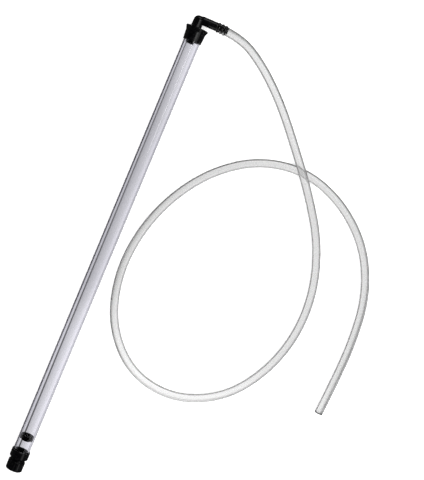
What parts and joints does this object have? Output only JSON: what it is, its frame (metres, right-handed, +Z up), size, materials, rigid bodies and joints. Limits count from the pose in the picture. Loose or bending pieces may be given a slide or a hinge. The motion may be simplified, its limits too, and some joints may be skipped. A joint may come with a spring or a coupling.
{
  "type": "gravel vacuum siphon",
  "caption": "Slim clear gravel-cleaning tube with a capped top, swivelling barbed elbow, clear siphon hose, internal check valve and unscrewing slotted strainer.",
  "frame": {"origin": "centre of the rigid part's footprint, wand and elbow without the hose, to within 1 mm, on the floor it lies on", "axes": "+Y along the wand from the strainer towards the cap, +X towards the hose, +Z up; the wand's own axis climbs 0.235 degrees towards the cap, because the cap's flange is wider than the foot collar"},
  "size_m": [0.4256, 0.7369, 0.0342],
  "materials": {
    "clear_acrylic": "clear, polished, colourless acrylic tube",
    "clear_vinyl": "clear flexible vinyl, slightly milky",
    "black_plastic": "moulded black plastic, soft gloss",
    "black_rubber": "black rubber, matt"
  },
  "bodies": {
    "elbow_and_hose": {"elbow": "black_plastic", "elbow_o_ring_upper": "black_rubber", "elbow_o_ring_lower": "black_rubber", "elbow_retaining_ring": "black_plastic", "hose": "clear_vinyl"},
    "wand": {"gravel_tube": "clear_acrylic", "top_cap": "black_plastic", "cap_gasket": "black_rubber", "foot_gasket": "black_rubber", "foot_collar": "black_plastic", "valve_body": "black_plastic", "valve_seal": "black_rubber", "valve_cage": "black_plastic"},
    "poppet": {"valve_poppet": "black_plastic", "poppet_washer": "black_rubber"},
    "screen": {"strainer_screen": "black_plastic"},
    "strainer": {"strainer_cup": "black_plastic"}
  },
  "joints": [
    {"name": "wand_swivel", "type": "hinge", "parent": "elbow_and_hose", "child": "wand", "pos_m": [-0.0155, 0.336, 0.01705], "axis": [0, -1, -0.0041], "continuous": true},
    {"name": "valve_lift", "type": "slide", "parent": "wand", "child": "poppet", "axis": [0, 1, 0.0041], "range_m": [0, 0.0015]},
    {"name": "strainer_travel", "type": "slide", "parent": "wand", "child": "screen", "axis": [0, -1, -0.0041], "range_m": [0, 0.006]},
    {"name": "strainer_turn", "type": "hinge", "parent": "screen", "child": "strainer", "pos_m": [-0.0131, -0.36, 0.0142], "axis": [0, -1, -0.0041], "range_deg": [0, 720]}
  ],
  "couplings": [
    {"joint": "strainer_travel", "follows": "strainer_turn", "m_per_rad": 0.000477}
  ]
}
